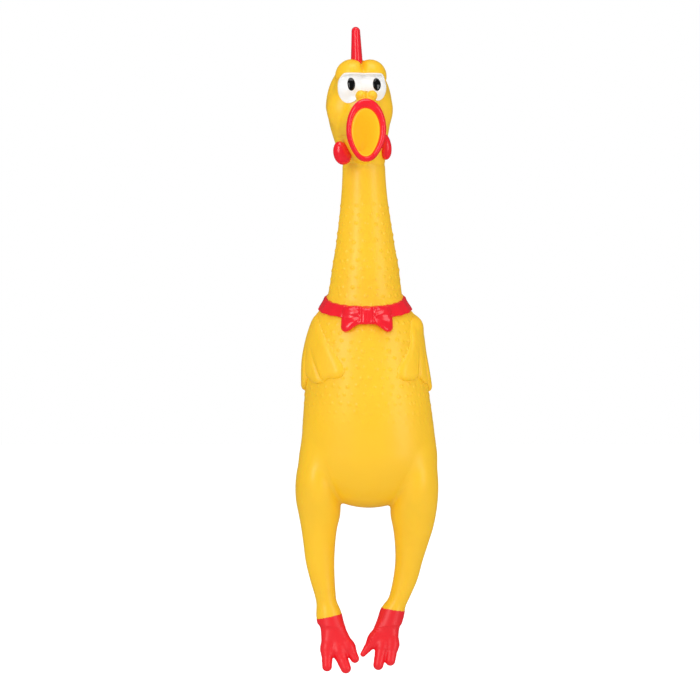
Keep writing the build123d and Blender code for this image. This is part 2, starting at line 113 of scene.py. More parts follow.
# The paint's edge: height at the leg's middle, slope, the leg's middle
PAINT_LINE = {-1: (-118.4, 0.22, -20.5), 1: (-114.7, -0.15, 16.0)}
PAINT_LAP = 1.6  # how far the bare skin runs on under the paint
FOOT_TILT = math.radians(22)
FOOT_ROOT_Z = -115.0
FOOT_FROM_Z = -104  # the foot is worked out below this height only
# Distance to the right, height, radius: ankle, three knuckles, three toe tips
FEET = {
    -1: (
        (-20.3, -118.4, 5.4),
        [(-21.6, -136.0, 3.2), (-15.2, -137.0, 3.6), (-9.6, -135.0, 3.1)],
        [(-21.6, -145.4, 2.6), (-11.2, -146.3, 2.8), (-6.2, -141.2, 2.3)],
    ),
    1: (
        (14.0, -117.4, 5.2),
        [(14.7, -133.6, 3.2), (9.0, -134.2, 3.5), (4.8, -130.8, 3.4)],
        [(13.4, -142.3, 2.7), (6.8, -144.6, 2.7), (-1.7, -138.8, 1.4)],
    ),
}
# The row of scales on the right foot's inner toe: first, last
SCALES_FROM, SCALES_TO, SCALE_COUNT = (8.0, -6.6, -121.6), (1.4, -10.6, -134.0), 8
TAIL = ((0, 14, -40), (0, 31, -47), 10.0, 3.6)  # root, tip, and their radii
# Shoulder knob on the right: middle, half sizes
SHOULDER = (27.2, -4.0, 42.6)
SHOULDER_SIZE = (4.6, 8.0, 5.6)

# Goose pimples: height of a row, distance along a row, height of a bump
PIMPLE_PITCH, PIMPLE_SPACE, PIMPLE_HIGH = 5.0, 5.2, 0.34

# The head's features are placed in the face's own frame: to its left, ahead, up
HEAD_TURN = math.radians(9)
HEAD_X = -4.5
HEAD_FROM_Z = 126
JAW_GROOVE_Z = 133.5
# Ahead, half width, half height, height of the middle
BEAK = [(-4, 13.4, 20.0, 154.0), (8, 12.9, 19.4, 152.8), (20, 12.0, 18.2, 151.2), (34, 10.9, 17.2, 150.2)]
MOUTH = [
    (-7, 3.0, 5.5, 150.0),
    (-3, 6.4, 9.9, 150.1),
    (2, 7.3, 11.0, 150.2),
    (18, 7.9, 12.8, 149.8),
    (36, 8.3, 13.5, 149.2),
]
MOUTH_BACK = -7
LINING = [
    (-4.8, 0.6, 1.0, 150.1),
    (-3.8, 2.8, 4.4, 150.1),
    (-1.6, 4.8, 7.3, 150.1),
    (3, 6.3, 9.7, 150.2),
    (9, 6.9, 11.2, 150.1),
    (18, 7.3, 12.2, 149.8),
    (36, 7.8, 13.0, 149.2),
]
LINING_BACK, LINING_FRONT = -4.8, 31.2
LIP_A, LIP_Z = 31.6, 150.7
# Half width, half height above the middle, half height below it
LIP_OUTER, LIP_INNER = (11.1, 17.1, 17.8), (7.8, 11.6, 14.6)
LID_Z = 182.5  # the straight lower edge of the lids
# Distance out from the middle, ahead, height, half width, half depth, half height
LID = (5.2, 8.4, 181.8, 9.1, 11.4, 9.4)
EYEBALL = (5.6, 9.4, 174.6, 9.0, 9.7, 8.6)
CHEEK = (11.5, 6.0, 163.0, 6.5, 8.0, 8.5)
BROW_MIDDLE = 0.3
# Place to the left, height, half width, half height
EYES = {-1: (-7.7, 175.0, 5.8, 8.9), 1: (8.3, 175.6, 5.4, 7.9)}
PUPILS = {-1: (-6.7, 176.6, 2.3, 3.9), 1: (7.6, 176.6, 2.5, 3.8)}
NOSTRIL = (0.4, 2.95, 27.0, 169.6)  # middle, distance out from it, ahead, height
THROAT = (-2.0, 0.4, 3.0)  # the air hole from the squeaker: middle and radius
COMB_X, COMB_SLIM = -5.2, 0.6  # the comb's lobes are this much thinner than they are long
COLLAR_TILT = math.radians(14)
COLLAR_Z = 56.6

# Where each body's skin begins and ends
NECK_CUTS = (68.0, 90.0, 111.0, 131.0)
LEG_CUTS = (-62.0, -83.0, -105.0)
DENT_FRONT, DENT_BACK = -20.0, 20.0


# ---------------------------------------------------------------- distance field tools
def curve_rows(s, rows):
    """Every column of the rows at s, along a smooth curve through them."""
    rows = sorted(rows)
    t = np.array([r[0] for r in rows], float)
    v = np.array([r[1:] for r in rows], float)
    slope = np.gradient(v, t, axis=0)
    s = np.clip(s, t[0], t[-1])
    i = np.clip(np.searchsorted(t, s) - 1, 0, len(t) - 2)
    h = (t[i + 1] - t[i])[:, None]
    f = ((s - t[i]) / h[:, 0])[:, None]
    a = (1 + 2 * f) * (1 - f) ** 2 * v[i] + f * f * (3 - 2 * f) * v[i + 1]
    b = f * (1 - f) ** 2 * h * slope[i] + f * f * (f - 1) * h * slope[i + 1]
    return (a + b).T


def ellipse(x, y, rx, ry):
    """Distance from an ellipse, close to exact near its edge."""
    k = np.sqrt((x / rx) ** 2 + (y / ry) ** 2)
    g = np.sqrt((x / rx**2) ** 2 + (y / ry**2) ** 2)
    return k * (k - 1) / np.maximum(g, 1e-6)


def ellipsoid(x, y, z, rx, ry, rz):
    k = np.sqrt((x / rx) ** 2 + (y / ry) ** 2 + (z / rz) ** 2)
    g = np.sqrt((x / rx**2) ** 2 + (y / ry**2) ** 2 + (z / rz**2) ** 2)
    return k * (k - 1) / np.maximum(g, 1e-6)


def tube(p, rows):
    """A tube up Z whose section follows the rows."""
    wide, deep, cx, cy = curve_rows(p[:, 2], rows)
    return ellipse(p[:, 0] - cx, p[:, 1] - cy, wide, deep)


def blend_min(a, b, k):
    h = np.maximum(k - np.abs(a - b), 0) / k
    return np.minimum(a, b) - h * h * k / 4


def blend_max(a, b, k):
    return -blend_min(-a, -b, k)


def cone(p, a, b, ra, rb):
    """A rod with round ends, from radius ra at a to rb at b."""
    a, b = np.array(a, float), np.array(b, float)
    d = b - a
    t = np.clip((p - a) @ d / (d @ d), 0, 1)
    return np.linalg.norm(p - a - t[:, None] * d, axis=1) - (ra + (rb - ra) * t)


def smooth_step(x, low, high):
    t = np.clip((x - low) / (high - low), 0, 1)
    return t * t * (3 - 2 * t)


def face(p):
    """The face's own frame: to its left, ahead, up."""
    x, y = p[:, 0] - HEAD_X, p[:, 1]
    c, s = math.cos(HEAD_TURN), math.sin(HEAD_TURN)
    return x * c + y * s, x * s - y * c, p[:, 2]


# ---------------------------------------------------------------- the moulded skin
# Outline, then the creases between feathers: distance towards the breastbone, height
WINGS = {
    -1: (
        [
            *((-18, 49), (-9, 47), (14, 20), (13, 15.5), (6, 16), (1, 12.5)),
            *((-6, 13), (-13, 18), (-16, 11), (-23, 8), (-28, 14), (-26, 40)),
        ],
        [((-14, 36), (-13, 12)), ((-8, 30), (3, 12))],
    ),
    1: (
        [
            *((-19, 49), (-10, 48), (-4, 41), (-2.5, 31), (8, 20), (8.5, 15), (2, 14)),
            *((-5, 17), (-12, 12), (-16, 14), (-22, 6.5), (-28, 14), (-26, 40)),
        ],
        [((-14, 34), (-15, 12)), ((-8, 30), (-4, 13))],
    ),
}
WING_HIGH, WING_ROUND = 2.2, 3.4
WING_FACING = math.radians(40)  # how far round towards the back a wing lies


def rounded(corners):
    """An outline with its corners cut twice, so that it runs in soft curves."""
    for _ in range(2):
        pairs = zip(corners, corners[1:] + corners[:1])
        corners = [(a + (c - a) * t, b + (d - b) * t) for (a, b), (c, d) in pairs for t in (0.25, 0.75)]
    return corners


def outline_distance(u, z, corners):
    """Distance inside (negative) or outside a flat outline."""
    best = np.full(len(u), 1e9)
    inside = np.zeros(len(u), bool)
    for (u0, z0), (u1, z1) in zip(corners, corners[1:] + corners[:1]):
        best = np.minimum(best, segment_distance(u, z, (u0, z0), (u1, z1)))
        crosses = (z0 > z) != (z1 > z)
        if z1 != z0:
            inside ^= crosses & (u < (u1 - u0) * (z - z0) / (z1 - z0) + u0)
    return np.where(inside, -best, best)


def segment_distance(u, z, start, end):
    du, dz = end[0] - start[0], end[1] - start[1]
    t = np.clip(((u - start[0]) * du + (z - start[1]) * dz) / (du * du + dz * dz), 0, 1)
    return np.hypot(u - start[0] - t * du, z - start[1] - t * dz)


def wing_relief(p):
    """How far the moulded wings stand out of the body's side."""
    x, y, z = p.T
    out = np.zeros(len(p))
    c, s = math.cos(WING_FACING), math.sin(WING_FACING)
    for side, (corners, creases) in WINGS.items():
        u = -side * x * s - y * c
        outward = side * x * c - y * s
        depth = np.clip((1.4 - outline_distance(u, z, rounded(corners))) / WING_ROUND, 0, 1)
        here = WING_HIGH * np.sqrt(1 - (1 - depth) ** 2) * (1.05 - 0.45 * smooth_step(z, 12, 44))
        for start, end in creases:
            groove = np.exp(-((segment_distance(u, z, start, end) / 1.2) ** 2))
            here = here * (1 - 0.5 * groove * (1 - smooth_step(z, 18, 36)))
        out = np.maximum(out, here * smooth_step(outward, 5, 9))
    return out


def trunk(p):
    """Torso, neck and head in one, without legs."""
    z = p[:, 2]
    body = tube(p, TRUNK)
    for end, tall, past in ((BELLY_Z, BELLY_TALL, z < BELLY_Z), (CROWN_Z, CROWN_TALL, z > CROWN_Z)):
        wide, deep, cx, cy = curve_rows(np.array([end]), TRUNK)
        body = np.where(past, ellipsoid(p[:, 0] - cx, p[:, 1] - cy, z - end, wide, deep, tall), body)
    return body


def foot_point(spot):
    """Where a knuckle or toe tip stands, the foot hanging tipped forward."""
    return (spot[0], (spot[1] - FOOT_ROOT_Z) * math.tan(FOOT_TILT), spot[1])


def leg(p, side):
    """A leg with its drooping three-toed foot."""
    out = np.maximum(tube(p, LEGS[side]), np.maximum(p[:, 2] - LEG_TOP_Z, LEG_END_Z - p[:, 2]))
    low = p[:, 2] < FOOT_FROM_Z
    if low.any():
        out[low] = blend_min(out[low], foot(p[low], side), 5.0)
    return out


def foot(p, side):
    """The palm and toes of a foot."""
    root, knuckles, tips = FEET[side]
    palm = None
    for knuckle in knuckles:
        rod = cone(p, foot_point(root), foot_point(knuckle), root[2] * 0.94, knuckle[2] * 0.92)
        palm = rod if palm is None else blend_min(palm, rod, 3.0)
    toes = None
    for knuckle, tip in zip(knuckles, tips):
        rod = cone(p, foot_point(knuckle), foot_point(tip), knuckle[2], tip[2])
        along = np.linalg.norm(p - np.array(foot_point(tip)), axis=1)
        rings = 0.05 * np.cos(np.clip(along, 0, 14) * 2 * math.pi / 2.9)
        rod = rod + rings * smooth_step(along, 2.5, 4.5)
        toes = rod if toes is None else blend_min(toes, rod, 1.2)
    whole = blend_min(palm, toes, 3.0)
    if side > 0:
        # A row of small round scales runs down the inner toe
        start, end = np.array(SCALES_FROM), np.array(SCALES_TO)
        for share in np.linspace(0, 1, SCALE_COUNT):
            spot = start + (end - start) * share
            flat = np.hypot(p[:, 0] - spot[0], p[:, 2] - spot[2])
            whole = whole - 0.35 * np.exp(-((flat / 0.62) ** 2)) * (p[:, 1] < spot[1] + 3)
    return whole


def scatter(i, j, salt):
    """A repeatable number from nought to one for a cell."""
    v = np.sin(i * 12.9898 + j * 78.233 + salt * 37.719) * 43758.5453
    return v - np.floor(v)


def pimples(p):
    """Goose pimples: staggered rows of low round bumps round the body and neck."""
    x, y, z = p.T
    wide, deep, cx, cy = curve_rows(z, TRUNK)
    around = np.arctan2(x - cx, -(y - cy))
    girth = (wide + deep) / 2
    out = np.zeros(len(p))
    base = np.round(z / PIMPLE_PITCH)
    for step_j in (-1, 0, 1):
        j = base + step_j
        row_z = j * PIMPLE_PITCH
        row_wide, row_deep, _, _ = curve_rows(row_z, TRUNK)
        cells = np.maximum(np.round(math.pi * (row_wide + row_deep) / PIMPLE_SPACE), 8)
        share = around / (2 * math.pi) * cells + 0.5 * np.mod(j, 2)
        for step_i in (-1, 0, 1):
            i = np.round(share) + step_i
            wrapped = np.mod(i, cells)
            off_i = i + (scatter(wrapped, j, 1) - 0.5) * 0.5 - share
            off_j = row_z + (scatter(wrapped, j, 2) - 0.5) * 1.8 - z
            d = np.hypot(off_i * 2 * math.pi / cells * girth, off_j)
            size = 0.85 + 0.4 * scatter(wrapped, j, 3)
            out = np.maximum(out, size * np.clip(1 - (d / (1.2 * size)) ** 2, 0, 1) ** 1.6)
    chest = smooth_step(z, -22, 16) * (1 - smooth_step(z, 104, 122))
    return out * chest * PIMPLE_HIGH


def beak(p):
    """The blunt tube of the beak, narrower below."""
    u, a, z = face(p)
    wide, tall, centre = curve_rows(a, BEAK)
    wide = wide * (1 - 0.22 * np.clip((centre - z) / tall, 0, 1))
    return np.maximum(ellipse(u, z - centre, wide, tall), np.maximum(-4 - a, a - LIP_A))


def paired(u, a, z, side, shape):
    """One of two ellipsoids that stand either side of the face's middle."""
    out, ahead, high, wide, deep, tall = shape
    return ellipsoid(u - side * out, a - ahead, z - high, wide, deep, tall)


def head_extras(p, base):
    """Beak, nostrils and heavy lids, blended into the head."""
    u, a, z = face(p)
    out = blend_min(base, beak(p), 5.0)
    for side in (-1, 1):
        lid = paired(u - BROW_MIDDLE, a, z, side, LID)
        lid = blend_max(lid, LID_Z - z - 0.04 * np.abs(u) - 0.5 * np.maximum(np.abs(u) - 10, 0), 1.4)
        out = blend_min(out, lid, 1.6)
        out = blend_min(out, paired(u - BROW_MIDDLE, a, z, side, EYEBALL), 2.4)
        out = blend_min(out, nostril(u, a, z, side), 1.6)
        out = blend_min(out, paired(u, a, z, side, CHEEK), 4.0)
    cleft = np.hypot(u - 0.2, (z - 187.0) * 0.4)
    out = out + 1.6 * np.exp(-(cleft**2) / 1.6) * smooth_step(a, 8, 14)
    crease = np.hypot((u + 11.5) * 0.16, z - 147.6 - 0.1 * (u + 11.5))
    return out + 0.5 * np.exp(-((crease / 0.7) ** 2)) * smooth_step(a, 2, 8)


def nostril(u, a, z, side):
    middle, out, ahead, high = NOSTRIL
    return ellipsoid(u - middle - side * out, a - ahead, z - high, 3.1, 4.4, 3.0)


def mouth_hole(p, grow):
    """The space that the lining fills in the beak, larger by grow all round."""
    u, a, z = face(p)
    wide, tall, centre = curve_rows(a, MOUTH)
    return np.maximum(ellipse(u, z - centre, wide + grow, tall + grow), MOUTH_BACK - grow - a)


def mouth_lining(p):
    """The soft-walled cup inside the beak, rounded at its back, with the throat's air hole in its floor.

    It is the lining only: the sleeve that holds the squeaker below the mouth isn't part of it.
    """
    u, a, z = face(p)
    wide, tall, centre = curve_rows(a, LINING)
    inside = np.maximum(ellipse(u, z - centre, wide, tall), LINING_BACK - a)
    cup = np.maximum(np.maximum(mouth_hole(p, 0.3), -inside), a - LINING_FRONT)
    air = np.maximum(np.hypot(p[:, 0] - THROAT[0], p[:, 1] - THROAT[1]) - THROAT[2], z - 150)
    return np.maximum(cup, -air)


def skin(p):
    """The whole yellow moulding."""
    x, y, z = p.T
    body = trunk(p)
    near = (np.abs(body) < 5) & (z > -32)
    if near.any():
        wings = wing_relief(p[near])
        bumps = pimples(p[near]) * (1 - smooth_step(wings, 0.1, 0.8))
        body[near] -= wings * smooth_step(-np.abs(body[near]), -5, -3.5) + bumps
    for side in (-1, 1):
        body = blend_min(body, leg(p, side), 2.4 + 2.8 * smooth_step(z, -50, -24))
    knob = ellipsoid(x - SHOULDER[0], y - SHOULDER[1], z - SHOULDER[2], *SHOULDER_SIZE)
    body = blend_min(body, knob, 2.4)
    body = blend_min(body, cone(p, *TAIL), 6.0)
    head = z > HEAD_FROM_Z
    if head.any():
        lifted = head_extras(p[head], body[head])
        lifted = blend_max(lifted, -mouth_hole(p[head], 0.6), 0.6)
        body[head] = lifted
    # A soft groove where the neck meets the jaw
    groove = np.exp(-(((z - JAW_GROOVE_Z) / 1.1) ** 2)) * 0.35 * (y < 4)
    return body + groove


# ---------------------------------------------------------------- painted raised details
def comb(p):
    """Four broad lobes in a row, the front one the tallest, standing straight fore and aft."""
    q = p.copy()
    q[:, 0] += (p[:, 2] - 192) * 0.032 - COMB_X
    q[:, 1] *= COMB_SLIM
    out = None
    for root, tip, r0, r1 in (
        ((-7.4, 184), (-9.0, 206.8), 3.6, 2.4),
        ((-0.6, 186), (0.2, 202.6), 3.4, 1.9),
        ((6.6, 187), (8.8, 198.4), 3.2, 1.8),
        ((12.0, 184), (16.2, 192.4), 2.9, 1.6),
    ):
        low, high = (0, root[0] * COMB_SLIM, root[1]), (0, tip[0] * COMB_SLIM, tip[1])
        rod = cone(q, low, high, r0, r1)
        out = rod if out is None else blend_min(out, rod, 2.0)
    return out


def lip_radius(u, h, size):
    """An egg round the mouth: wide shoulders, narrower chin."""
    wide, up, down = size
    tall = np.where(h > 0, up, down)
    chin = 1 - 0.10 * smooth_step(-h, 2, down) + 0.05 * smooth_step(-h, down * 0.75, down)
    return ellipse(u / chin, h, wide, tall)


def lips(p):
    u, a, z = face(p)
    h = z - LIP_Z
    outer = lip_radius(u + 0.5, h, LIP_OUTER)
    inner = lip_radius(u + 0.8, h, LIP_INNER)
    middle = (outer + inner) / 2
    half = np.maximum((inner - outer) / 2, 0.9)
    return ellipse(middle, a - LIP_A - 0.2, half, np.full(len(u), 2.5))


# To the left, height, ahead, half width, half depth, half height, degrees that its top leans to -X
WATTLES = {
    -1: (-11.5, 138.7, 16.0, 4.8, 4.6, 6.7, 20),
    1: (14.3, 143.0, 6.6, 3.5, 4.6, 7.3, 4),
}


def wattle(p, side):
    u, a, z = face(p)
    at_u, at_z, ahead, wide, deep, tall, lean = WATTLES[side]
    lean = math.radians(lean)
    x, h = u - at_u, z - at_z
    x, h = x * math.cos(lean) + h * math.sin(lean), h * math.cos(lean) - x * math.sin(lean)
    swell = 1 + 0.1 * np.clip(-h / 6, -1, 1)
    return ellipsoid(x / swell, a - ahead, h, wide, deep, tall)


def eye_mask(u, a, z):
    """The white mask painted across the front of the head, as seen from ahead."""
    left, right = (ellipse(u - x, z - high, wide, tall) for x, high, wide, tall in (EYES[-1], EYES[1]))
    bridge = np.maximum(np.abs(u - 0.4) - 8.0, np.abs(z - 178.4) - 5.6)
    mask = blend_max(blend_min(blend_min(left, right, 3.0), bridge, 2.0), z - LID_Z - 0.4, 0.6)
    for side in (-1, 1):
        mask = blend_max(mask, 0.5 - nostril(u, a, z, side), 0.6)
    return mask


def eyes(p):
    u, a, z = face(p)
    whole = head_extras(p, trunk(p)) - 0.32
    return blend_max(blend_max(whole, eye_mask(u, a, z), 0.5), 3.0 - a, 0.5)


def pupil(p, side):
    u, a, z = face(p)
    whole = head_extras(p, trunk(p))
    x, high, wide, tall = PUPILS[side]
    return blend_max(blend_max(whole - 0.8, ellipse(u - x, z - high, wide, tall), 1.2), 5.0 - a, 0.5)


def collar(p):
    x, y, z = p.T
    tilt = (z - COLLAR_Z) * math.cos(COLLAR_TILT) - y * math.sin(COLLAR_TILT)
    off = trunk(p)
    q0, q1 = np.abs(off - 0.2) - 0.6, np.abs(tilt) - 2.1
    ripple = 0.12 * np.sin(np.arctan2(y, x) * 23)
    return np.hypot(np.maximum(q0, 0), np.maximum(q1, 0)) + np.minimum(np.maximum(q0, q1), 0) - 0.8 - ripple


def bow(p):
    x, y, z = p.T
    x = x - 0.4
    side = np.abs(x)
    top = 54.4 - 0.9 * np.exp(-((side / 3.0) ** 2))
    bottom = 43.9 - 4.2 * smooth_step(side, 3.5, 12.0)
    flat = blend_max(blend_max(z - top, bottom - z, 2.4), side - 14.6 + 0.06 * (z - 40), 3.6)
    off = trunk(p)
    swell = 2.1 + 1.4 * np.sin(np.clip(side / 14.5, 0, 1) * math.pi) + 1.2 * np.exp(-((side / 2.6) ** 2))
    angle = np.arctan2(z - 48.6, side - 0.5)
    fold = 0.42 * np.sin(angle * 9.0 + 0.8 * np.sign(x))
    fold = fold * smooth_step(side, 3.0, 6.0) * (1 - smooth_step(side, 11.5, 14.0))
    pinch = -0.7 * np.exp(-(((side - 3.6) / 0.9) ** 2))
    return blend_max(blend_max(off - swell - fold - pinch, flat, 2.2), y + 6, 0.5)


# ---------------------------------------------------------------- meshing
def field_mesh(field, low, high, step):
    """Vertices and quads of the surface where the field crosses nought, inside a box."""
    low, high = np.array(low, float), np.array(high, float)
    size = np.ceil((high - low) / step).astype(int) + 1
    block = 8
    size = (np.ceil(size / block) * block).astype(int)
    counts = size // block
    centre = (np.indices(counts).reshape(3, -1).T + 0.5) * block - 0.5
    far = field(low + centre * step)
    reach = block * step * 0.87 * 1.35
    sign = np.sign(far).reshape(counts).astype(np.float32) * 99
    values = np.repeat(np.repeat(np.repeat(sign, block, 0), block, 1), block, 2)
    near = np.argwhere(np.abs(far).reshape(counts) < reach)
    inner = np.indices((block,) * 3).reshape(3, -1).T
    for part in np.array_split(near, max(1, len(near) // 800)):
        ids = (part[:, None, :] * block + inner[None]).reshape(-1, 3)
        values[ids[:, 0], ids[:, 1], ids[:, 2]] = field(low + ids * step)

    inside = values < 0
    corners = np.array([(i, j, k) for i in (0, 1) for j in (0, 1) for k in (0, 1)])
    shape = size - 1
    total = np.zeros(shape, np.int8)
    for i, j, k in corners:
        total += inside[i : i + shape[0], j : j + shape[1], k : k + shape[2]]
    cells = np.argwhere((total > 0) & (total < 8))
    number = np.full(shape, -1, np.int32)
    number[cells[:, 0], cells[:, 1], cells[:, 2]] = np.arange(len(cells))
    sums, hits = np.zeros((len(cells), 3)), np.zeros(len(cells))
    for a in range(8):
        for b in range(a + 1, 8):
            if np.abs(corners[a] - corners[b]).sum() != 1:
                continue
            ca, cb = cells + corners[a], cells + corners[b]
            va = values[ca[:, 0], ca[:, 1], ca[:, 2]].astype(float)
            vb = values[cb[:, 0], cb[:, 1], cb[:, 2]].astype(float)
            cross = (va < 0) != (vb < 0)
            t = np.where(cross, va / np.where(cross, va - vb, 1), 0)
            sums += np.where(cross[:, None], ca + t[:, None] * (cb - ca), 0)
            hits += cross
    verts = low + sums / hits[:, None] * step

    quads = []
    for axis in range(3):
        b, c = (axis + 1) % 3, (axis + 2) % 3
        first = [slice(1, n - 1) for n in size]
        second = list(first)
        first[axis], second[axis] = slice(0, size[axis] - 1), slice(1, size[axis])
        v0, v1 = inside[tuple(first)], inside[tuple(second)]
        base = np.array([s.start for s in first])
        for flip, mask in ((False, v0 & ~v1), (True, ~v0 & v1)):
            e = np.argwhere(mask) + base
            eb, ec = np.zeros(3, int), np.zeros(3, int)
            eb[b], ec[c] = 1, 1
            ring = [e - eb - ec, e - ec, e, e - eb]
            ids = np.stack([number[r[:, 0], r[:, 1], r[:, 2]] for r in ring], 1)
            quads.append(ids[:, ::-1] if flip else ids)
    quads = np.concatenate(quads)
    quads = quads[(quads >= 0).all(1)]

    for _ in range(2):
        d, n = field_slope(field, verts, step * 0.35)
        verts = verts - n * np.clip(d, -step * 0.6, step * 0.6)[:, None]
    return verts, quads


def field_slope(field, p, step):
    """The field at points, and its unit slope there."""
    slope = np.empty_like(p)
    for i in range(3):
        e = np.zeros(3)
        e[i] = step
        slope[:, i] = field(p + e) - field(p - e)
    size = np.linalg.norm(slope, axis=1)
    d = field(p) / np.maximum(size / (2 * step), 0.25)
    return d, slope / np.maximum(size, 1e-9)[:, None]


def piece(name, verts, quads, normals, paint):
    """A Blender object from the rows of a mesh that its faces use."""
    used, inverse = np.unique(quads, return_inverse=True)
    faces = inverse.reshape(quads.shape)
    mesh = bpy.data.meshes.new(name)
    mesh.vertices.add(len(used))
    mesh.vertices.foreach_set("co", (verts[used] / 1000).astype(np.float32).ravel())
    mesh.loops.add(faces.size)
    mesh.loops.foreach_set("vertex_index", faces.astype(np.int32).ravel())
    mesh.polygons.add(len(faces))
    mesh.polygons.foreach_set("loop_start", np.arange(0, faces.size, 4, dtype=np.int32))
    mesh.update(calc_edges=True)
    mesh.validate()
    mesh.shade_smooth()
    mesh.normals_split_custom_set_from_vertices([tuple(n) for n in normals[used]])
    mesh.materials.append(paint)
    made = bpy.data.objects.new(name, mesh)
    bpy.context.scene.collection.objects.link(made)
    return made


def shaped(name, field, low, high, step, paint):
    """One object from a field."""
    verts, quads = field_mesh(field, low, high, step)
    _, normals = field_slope(field, verts, NORMAL_STEP)
    return piece(name, verts, quads, normals, paint)


# ---------------------------------------------------------------- materials
def material(name, color, rough, coat, variety, bump, subsurface=0.0, glow=0.0, haze=0.08):
    """A glossy vinyl or paint: uneven colour, uneven gloss, broad ripples and fine grain."""
    made = bpy.data.materials.new(name)
    made.use_nodes = True
    tree = made.node_tree
    out = tree.nodes["Principled BSDF"]
    place = tree.nodes.new("ShaderNodeTexCoord")

    def noise(scale, detail):
        node = tree.nodes.new("ShaderNodeTexNoise")
        node.inputs["Scale"].default_value = scale
        node.inputs["Detail"].default_value = detail
        tree.links.new(place.outputs["Object"], node.inputs["Vector"])
        return node

    def ramp(source, low, high):
        node = tree.nodes.new("ShaderNodeValToRGB")
        node.color_ramp.elements[0].position, node.color_ramp.elements[0].color = 0.3, (*low, 1)
        node.color_ramp.elements[1].position, node.color_ramp.elements[1].color = 0.7, (*high, 1)
        tree.links.new(source.outputs["Fac"], node.inputs["Fac"])
        return node

    def spread(source, low, high):
        node = tree.nodes.new("ShaderNodeMapRange")
        node.inputs["To Min"].default_value = low
        node.inputs["To Max"].default_value = high
        tree.links.new(source.outputs["Fac"], node.inputs["Value"])
        return node

    dark = [c * (1 - variety) for c in color]
    light = [min(1, c * (1 + variety)) for c in color]
    tree.links.new(ramp(noise(22.0, 3.0), dark, light).outputs["Color"], out.inputs["Base Color"])
    gloss = spread(noise(60.0, 4.0), rough * 0.8, rough * 1.25)
    tree.links.new(gloss.outputs["Result"], out.inputs["Roughness"])
    ripple, fine = noise(90.0, 2.0), noise(900.0, 4.0)
    mixed = tree.nodes.new("ShaderNodeMath")
    mixed.operation = "MULTIPLY_ADD"
    mixed.inputs[1].default_value = 0.12
    tree.links.new(fine.outputs["Fac"], mixed.inputs[0])
    tree.links.new(ripple.outputs["Fac"], mixed.inputs[2])
    lump = tree.nodes.new("ShaderNodeBump")
    lump.inputs["Strength"].default_value = bump
    lump.inputs["Distance"].default_value = 0.0006
    tree.links.new(mixed.outputs["Value"], lump.inputs["Height"])
    tree.links.new(lump.outputs["Normal"], out.inputs["Normal"])
    out.inputs["Coat Weight"].default_value = coat
    out.inputs["Coat Roughness"].default_value = haze
    out.inputs["IOR"].default_value = 1.5
    out.inputs["Subsurface Weight"].default_value = subsurface
    out.inputs["Subsurface Radius"].default_value = (1.0, 0.5, 0.2)
    out.inputs["Subsurface Scale"].default_value = 0.003
    out.inputs["Emission Color"].default_value = (*color, 1)
    # A glow above nought is painted light: the surface shines though it is no lamp
    out.inputs["Emission Strength"].default_value = glow
    return made


yellow = material("yellow_vinyl", (0.97, 0.55, 0.004), 0.46, 0.25, 0.04, 0.3, subsurface=0.15, haze=0.26)
# The mouth's deeper orange is partly its own colour and mostly painted shade and bounced light of the yellow
# vinyl in the hollow. Its glow is painted light that stands in for light through the thin cheeks, keeping the
# inside of the mouth bright
mouth_shade_and_glow = material("mouth_vinyl", (0.93, 0.46, 0.026), 0.45, 0.1, 0.03, 0.2, glow=0.56)
red = material("red_paint", (0.88, 0.006, 0.02), 0.25, 0.5, 0.06, 0.3)
satin_red = material("foot_paint", (0.86, 0.003, 0.012), 0.42, 0.15, 0.06, 0.3, haze=0.3)
white = material("white_paint", (0.93, 0.93, 0.93), 0.25, 0.5, 0.02, 0.1)
black = material("black_paint", (0.002, 0.002, 0.002), 0.1, 0.6, 0.3, 0.05)
plastic = material("squeaker_plastic", (0.82, 0.82, 0.76), 0.35, 0.1, 0.03, 0.2)
film = material("reed_film", (0.7, 0.74, 0.78), 0.2, 0.2, 0.02, 0.1)

# ---------------------------------------------------------------- the skin, piece by piece
verts, quads = field_mesh(skin, (-46, -44, -124), (46, 46, 134), SKIN_GRID)
_, normals = field_slope(skin, verts, NORMAL_STEP)
middle = verts[quads].mean(axis=1)


def skin_piece(name, mask, *nodes):
    """The part of the body's mesh that the mask picks, in place of the named nodes."""
    made = piece(name, verts, quads[mask], normals, yellow)
    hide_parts(*nodes)
    return made


mx, my, mz = middle.T
body_zone = (mz < NECK_CUTS[0]) & (mz > LEG_CUTS[0])
torso_zone = body_zone & (my > DENT_FRONT) & (my < DENT_BACK)
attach(skin_piece("skin_torso", torso_zone, "torso_shell", "wing_left", "wing_right"), "torso")
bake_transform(skin_piece("skin_belly", body_zone & (my <= DENT_FRONT), "belly_panel"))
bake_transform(skin_piece("skin_back", body_zone & (my >= DENT_BACK), "back_panel"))
for name, low, high, a, b, nodes in (
    ("skin_neck_root", NECK_CUTS[0], NECK_CUTS[1], "torso", "neck_root", ["lower_neck"]),
    ("skin_neck_top", NECK_CUTS[1], NECK_CUTS[2], "neck_root", "neck_top", ["upper_neck"]),
    ("skin_throat", NECK_CUTS[2], NECK_CUTS[3] + 1.5, "neck_top", "head", []),
):
    made = skin_piece(name, (mz >= low) & (mz < high), *nodes)
    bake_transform(made)


def above_paint(centres, side):
    """How far points lie above the painted foot's edge."""
    high, slope, middle_x = PAINT_LINE[side]
    return centres[:, 2] - high - slope * (centres[:, 0] - middle_x)


